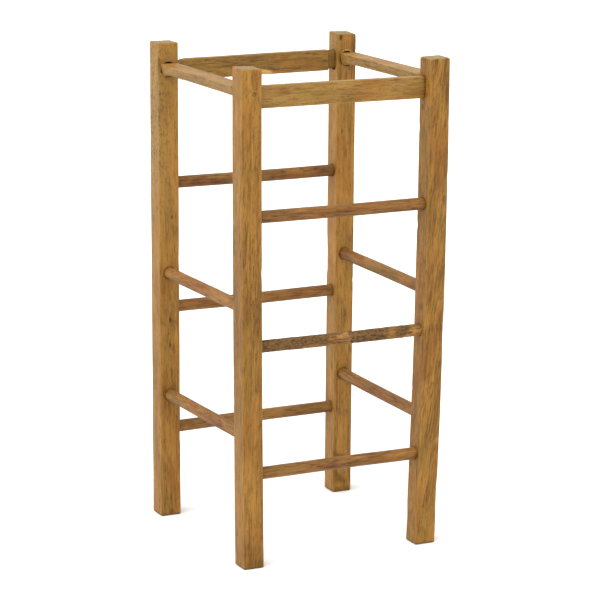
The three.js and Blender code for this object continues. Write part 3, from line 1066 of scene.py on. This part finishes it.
def mark_piece(number, name, stick, half_w, half_h):
    """Works out every attribute of one piece from its final points and normals."""
    mesh = pieces[name].data
    points, normals = vertex_values(mesh), vertex_values(mesh, "normal")
    along, a, b = to_stick(stick, points)
    growth = grow(number, name)
    # The grain swirls round a knot, and the swirl reaches about twice as far as the knot.
    swirl = spots(along, a, b, [(*place, 2.2 * length, 1.8 * width, strength)
                                for *place, length, width, strength in knots.get(name, [])])
    pith_a, pith_b = growth["pith"]
    pith_a = pith_a + growth["lean"] * (along - stick.length / 2)
    place = np.stack([a - pith_a * MM, b - pith_b * MM, along + tree_gap * number], -1)
    outwards = place[:, :2] / np.linalg.norm(place[:, :2], axis=1, keepdims=True)
    place[:, :2] += outwards * (knot_push * swirl)[:, None]
    end_on = np.abs(normals @ (stick.span / np.linalg.norm(stick.span)))
    patchy = 0.6 + 0.4 * stretched_noise(along, a, b, 30 * MM, 6 * MM, 900 + number)
    arris = near_arris(a, b, half_w, half_h, arris_wear) if half_w else np.zeros_like(a)
    store(mesh, "grain", place)
    for label, found in (("knot", knots), ("stain_and_shade", stains_and_shade), ("weather", weathered),
                         ("bare", rubbed)):
        store(mesh, label, np.clip(spots(along, a, b, found.get(name, [])), 0, 1))
    store(mesh, "worn", np.clip(arris * patchy, 0, 1))
    store(mesh, "end_grain", ease(end_on, 0.45, 0.9) * (peg_end_grain if name in pegs else 1))
    for label in ("figure", "tone"):
        values = growth[label]
        store(mesh, label, np.interp(along / stick.length, np.linspace(0, 1, len(values)), values))
    # Darker near the sockets, the joints and the foot: partly grime, partly painted shade in the
    # recesses and between the pieces.
    if name in posts:
        grime_and_shade = near_sockets(points, socket_grime_and_shade)
        grime_and_shade = np.maximum(grime_and_shade, 0.5 * np.exp(-along / foot_grime_and_shade))
    elif name in pegs:
        grime_and_shade = np.zeros(len(points))
    else:
        first, last = stick.faces
        from_face = np.maximum(np.minimum(along - first, last - along), 0)
        grime_and_shade = np.exp(-from_face / joint_grime_and_shade)
    store(mesh, "grime_and_shade", grime_and_shade * (0.75 + 0.25 * patchy))


sticks = {**posts, **rails, **rungs, **pegs}
for number, (name, stick) in enumerate(sticks.items()):
    if name in posts:
        mark_piece(number, name, stick, stick.side / 2, stick.side / 2)
    elif name in rails:
        mark_piece(number, name, stick, stick.width / 2, stick.height / 2)
    else:
        mark_piece(number, name, stick, 0, 0)
print("attributes on", len(sticks), "pieces")

# %% [markdown]
# ## The wood
# This looks like elm: growth rings with a band of open pores at the start of each year, which
# show as darker streaks and short dashes along a planed face. Oil and handling turned it honey
# brown with a dull gloss. We rebuild the tree: the distance from the pith, pushed about by slow
# noise, gives the rings, so a streak on one face carries on round the arris and ends as an arc on
# the sawn top. Everything finer is a noise that is much longer along the grain than across it.

# %% Noises of the wood
MATH, VECTOR, MIX = "ShaderNodeMath", "ShaderNodeVectorMath", "ShaderNodeMix"
NOISE, RANGE, ATTRIBUTE = "ShaderNodeTexNoise", "ShaderNodeMapRange", "ShaderNodeAttribute"
marks = ("figure", "tone", "worn", "bare", "weather", "end_grain", "stain_and_shade", "grime_and_shade", "knot",
         "bark")

# For each noise: its cells across and along the grain in mm, its detail and roughness, and the
# noise values that turn into 0 and 1. Real fibres and pores are finer than these, which are drawn
# just coarse enough to show.
wood_noises = {
    "clouds": (15, 70, 2, 0.55, 0.34, 0.66),      # broad light and dark stretches
    "hue": (22, 80, 2, 0.5, 0.30, 0.70),          # where the wood leans to orange or to olive
    "strong": (12, 120, 1, 0.5, 0.35, 0.65),      # where the rings are well marked
    "strokes": (2.0, 15, 2, 0.6, 0.50, 0.64),     # short dark flecks where a pore band surfaces
    "drift": (4.5, 60, 2, 0.5, 0.40, 0.66),       # longer, softer darkening beside them
    "streaks": (1.3, 50, 2, 0.5, 0.30, 0.70),     # bundles of fibres
    "fibres": (0.5, 18, 1, 0.5, 0.20, 0.80),      # single fibres
    "dashes": (0.8, 6, 1, 0.5, 0.60, 0.70),       # open pores, cut lengthwise
    "specks": (2.8, 4.5, 3, 0.7, 0.42, 0.66),     # lichen and dirt, hardly longer than wide
}


# %% Rings and noises
SOFT = {"interpolation_type": "SMOOTHSTEP"}
TIMES, TIMES_PLUS = {"operation": "MULTIPLY"}, {"operation": "MULTIPLY_ADD"}


def wood_place(tree, look):
    """The point in the tree that a surface point shows: its grain plus size times a slow noise, in
    cells of about 30 mm across and 160 mm along, which makes the rings wander."""
    grain = add(tree, ATTRIBUTE, {}, "Vector", attribute_name="grain")
    slow = add(tree, VECTOR, {0: grain, 1: (1 / 0.030, 1 / 0.030, 1 / 0.160)}, **TIMES)
    wander = add(tree, NOISE, {"Vector": slow, "Scale": 1, "Detail": 2}, "Color")
    return add(tree, VECTOR, {0: wander, 1: (look["wander"],) * 3, 2: grain}, **TIMES_PLUS)


def wood_parts(tree, look, place, figure):
    """The band of pores in each ring and all the noises. The part of a year at a point is
    fract(distance from the pith / ring width), and the pore band is darkest just after the year
    starts and fades over its first two thirds."""
    parts = {}
    for label, (across, along, detail, roughness, low, high) in wood_noises.items():
        cells = (1 / (across * MM), 1 / (across * MM), 1 / (along * MM))
        spot = add(tree, VECTOR, {0: place, 1: cells}, **TIMES)
        raw = add(tree, NOISE, {"Vector": spot, "Scale": 1, "Detail": detail,
                                "Roughness": roughness})
        parts[label] = add(tree, RANGE, {0: raw, 1: low, 2: high}, **SOFT)
    level = add(tree, VECTOR, {0: place, 1: (1, 1, 0)}, **TIMES)
    distance = add(tree, VECTOR, {0: level}, "Value", operation="LENGTH")
    years = add(tree, MATH, {0: distance, 1: look["ring"]}, operation="DIVIDE")
    year = add(tree, MATH, {0: years}, operation="FRACT")
    start = add(tree, RANGE, {0: year, 1: 0.0, 2: 0.12}, **SOFT)
    band = add(tree, RANGE, {0: year, 1: 0.75, 2: 0.12, 4: start}, **SOFT)
    seen = add(tree, MATH, {0: parts["strong"], 1: 0.7, 2: 0.3}, **TIMES_PLUS)
    band = add(tree, MATH, {0: band, 1: seen}, **TIMES)
    parts["band"] = add(tree, MATH, {0: band, 1: figure}, **TIMES)
    return parts


# %% Covers of colour
def wood_covers(tree, look, place, mark, parts):
    """Every cover of colour: a factor from 0 to 1 and the colour that it brings. The first gives
    the wood its depth, and each layer follows one noise or mark from a low to a high value."""
    depth = add(tree, MATH, {0: 0.0, 1: mark["tone"]}, operation="SUBTRACT")
    for label, weight in look["depth"].items():
        depth = add(tree, MATH, {0: parts[label], 1: weight, 2: depth}, **TIMES_PLUS)
    covers = [(add(tree, RANGE, {0: depth, 1: 0.05, 2: 1.25}, **SOFT), look["deep"])]
    for follows, low, high, cover, code in look["layers"]:
        value = {**parts, **mark}[follows]
        covers.append((add(tree, RANGE, {0: value, 1: low, 2: high, 4: cover}, **SOFT), code))
    if "bark" in look:
        # Bark left on the branch: torn patches of it, dark in the furrows, over bare wood.
        patch = add(tree, VECTOR, {0: place, 1: (75, 75, 30)}, **TIMES)
        patch = add(tree, NOISE, {"Vector": patch, "Scale": 1, "Detail": 4, "Roughness": 0.65})
        patch = add(tree, MATH, {0: patch, 1: mark["bark"]}, operation="ADD")
        left = add(tree, RANGE, {0: patch, 1: 0.98, 2: 1.07, 4: look["bark_cover"]}, **SOFT)
        furrows = add(tree, MATH, {0: parts["specks"], 1: left}, **TIMES)
        covers += [(left, look["skin"]), (furrows, look["bark"])]
    # Lichen and grey weathering: a thin film everywhere it grew, with dark specks.
    film = add(tree, MATH, {0: parts["specks"], 1: 0.5, 2: 0.35}, **TIMES_PLUS)
    film = add(tree, MATH, {0: film, 1: mark["weather"]}, **TIMES)
    specks = add(tree, RANGE, {0: parts["specks"], 1: 0.5, 2: 0.85, 4: 0.85}, **SOFT)
    specks = add(tree, MATH, {0: specks, 1: mark["weather"]}, **TIMES)
    # Sawn ends drink dirt and go grey, and their rings show as faint arcs.
    sawn = add(tree, MATH, {0: mark["end_grain"], 1: 0.85}, **TIMES)
    dirt = add(tree, MATH, {0: parts["specks"], 1: 0.3, 2: parts["band"]}, **TIMES_PLUS)
    dirt = add(tree, MATH, {0: dirt, 1: sawn}, **TIMES)
    # Stains, with painted shade in the back rail's recessed neck and at the feet, and knots, broken up
    # along the fibres.
    stain_and_shade_cover = add(tree, MATH, {0: parts["streaks"], 1: 0.35, 2: 0.8}, **TIMES_PLUS)
    stain_and_shade_cover = add(tree, MATH, {0: stain_and_shade_cover, 1: mark["stain_and_shade"]}, **TIMES)
    knotted = add(tree, RANGE, {0: mark["knot"], 1: 0.25, 2: 0.75, 4: 0.85}, **SOFT)
    return covers + [(film, "#7C6A3E"), (specks, "#392E15"), (sawn, "#8A7450"), (dirt, "#54432B"),
                     (stain_and_shade_cover, "#624204"), (knotted, "#3F2206")]


# %% Wood material
pore_depth = 0.25 * MM
oiled_ior = 1.32


def make_wood(name, look):
    """One wood: each cover mixes its own colour over the pale wood. Pores and pore bands lie low,
    and fibres stand up by a tenth of a millimetre."""
    material = new_material(name)
    tree = material.node_tree
    mark = {label: add(tree, ATTRIBUTE, {}, "Fac", attribute_name=label) for label in marks}
    place = wood_place(tree, look)
    parts = wood_parts(tree, look, place, mark["figure"])
    colour = linear(look["pale"])
    for factor, code in wood_covers(tree, look, place, mark, parts):
        colour = add(tree, MIX, {0: factor, 6: colour, 7: linear(code)}, 2, data_type="RGBA")
    relief = 0.0
    for label, weight in (("fibres", 0.3), ("streaks", -0.2), ("dashes", -0.9), ("band", -0.5)):
        relief = add(tree, MATH, {0: parts[label], 1: weight, 2: relief}, **TIMES_PLUS)
    bump = add(tree, "ShaderNodeBump",
               {"Height": relief, "Distance": pore_depth, "Strength": look["bump"]})
    rough = add(tree, MATH, {0: parts["streaks"], 1: 0.08, 2: look["roughness"]}, **TIMES_PLUS)
    rough = add(tree, MATH, {0: mark["end_grain"], 1: 0.15, 2: rough}, **TIMES_PLUS)
    shader = add(tree, "ShaderNodeBsdfPrincipled", {
        "Base Color": colour, "Roughness": rough, "IOR": oiled_ior, "Normal": bump})
    add(tree, "ShaderNodeOutputMaterial", {"Surface": shader})
    return material


# %% The woods
planed_layers = [
    ("hue", 0.55, 1.0, 0.40, "#855316"),
    ("hue", 0.45, 0.0, 0.30, "#74581A"),
    ("dashes", 0.0, 1.0, 0.45, "#482706"),
    ("worn", 0.0, 1.0, 0.40, "#97702F"),
    ("bare", 0.2, 0.9, 0.85, "#B99552"),
    # grime and painted shade near the sockets, the joints and the foot
    ("grime_and_shade", 0.0, 1.0, 0.42, "#40230A"),
]
planed = {
    "pale": "#9C6F2C", "deep": "#583707", "ring": 3.4 * MM, "wander": 0.012,
    "depth": {"clouds": 0.30, "band": 0.24, "strokes": 0.36, "drift": 0.18, "streaks": 0.24,
              "fibres": 0.12},
    "layers": planed_layers, "bump": 0.6, "roughness": 0.50,
}
# Elm, planed, oiled and handled: a dull gloss that follows the streaks, and paler rubbed arrises.
post_wood = make_wood("oiled_planed_elm", planed)
# The same elm on the rails, a shade browner because less hand wear has reached it.
rail_wood = make_wood("oiled_planed_elm_rail", {
    **planed, "pale": "#947035", "deep": "#5A3C12", "bump": 0.5})
# Elm shaved round: browner, with tighter rings, since it was split from near the heart.
shaved = {
    **planed, "pale": "#8E632E", "deep": "#4B2A0A", "ring": 2.6 * MM, "wander": 0.006,
    "layers": [("hue", 0.55, 1.0, 0.45, "#7B4818"), ("hue", 0.45, 0.0, 0.4, "#6C5220"),
               *planed_layers[2:]],
    "roughness": 0.52}
rung_wood = make_wood("oiled_shaved_elm", shaved)
# An elm branch only half shaved: patches of bark and grey skin between brown wood.
bark_wood = make_wood("half_shaved_elm_branch", {
    **shaved, "pale": "#A5763D", "bark": "#2A1A08", "skin": "#644722", "bark_cover": 0.86,
    "roughness": 0.60, "bump": 1.0})
# A peg shows its trimmed end, burnished and a little browner than the post round it.
peg_wood = make_wood("split_elm_peg", {**planed, "pale": "#86541F", "roughness": 0.60})
print(len(bpy.data.materials), "materials")

# %% [markdown]
# The half-shaved rung needs one more attribute, how much bark is left along it: most of it on the
# left and just right of the twig ring, more on its upper side, and little by the right post.

# %% Bark along the branch
branch = rungs[bark_rung]
branch_mesh = pieces[bark_rung].data
branch_along, _, branch_up = to_stick(branch, vertex_values(branch_mesh))
branch_share = branch_along / branch.length
bark_left = np.interp(branch_share, [0, 0.24, 0.40, 0.44, 0.53, 0.56, 0.74, 0.78, 0.83, 0.87, 1],
                      [0.66, 0.65, 0.60, 0.45, 0.42, 0.68, 0.64, 0.50, 0.62, 0.46, 0.36])
bark_left = bark_left + 0.10 * branch_up / (branch.height / 2)
store(branch_mesh, "bark", bark_left)
print("bark left, least and most:", bark_left.min().round(2), bark_left.max().round(2))

# %% [markdown]
# ## The new pieces in place
# Each new piece takes the place of its packed one and rides on the only body there is. Normals are
# smooth except across an edge sharper than 40 degrees, so the rims of the sockets stay crisp.

# %% Materials and bodies
finishes = {"post": (post_wood, "post_wood"), "top_rail": (rail_wood, "rail_wood"),
            "rung": (rung_wood, "rung_wood"), "tenon_peg": (peg_wood, "peg_wood")}
for name, piece in pieces.items():
    kind = next(kind for kind in finishes if name.startswith(kind))
    material, slot = finishes[kind]
    if name == bark_rung:
        material, slot = bark_wood, "dark_rung_wood"
    piece.data.materials.clear()
    piece.data.materials.append(material)
    piece.data.shade_smooth()
    piece.data.set_sharp_from_angle(angle=math.radians(40))
    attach(piece, "root")
    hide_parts(name)
print(len(pieces), "pieces stand for", len(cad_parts), "packed ones")
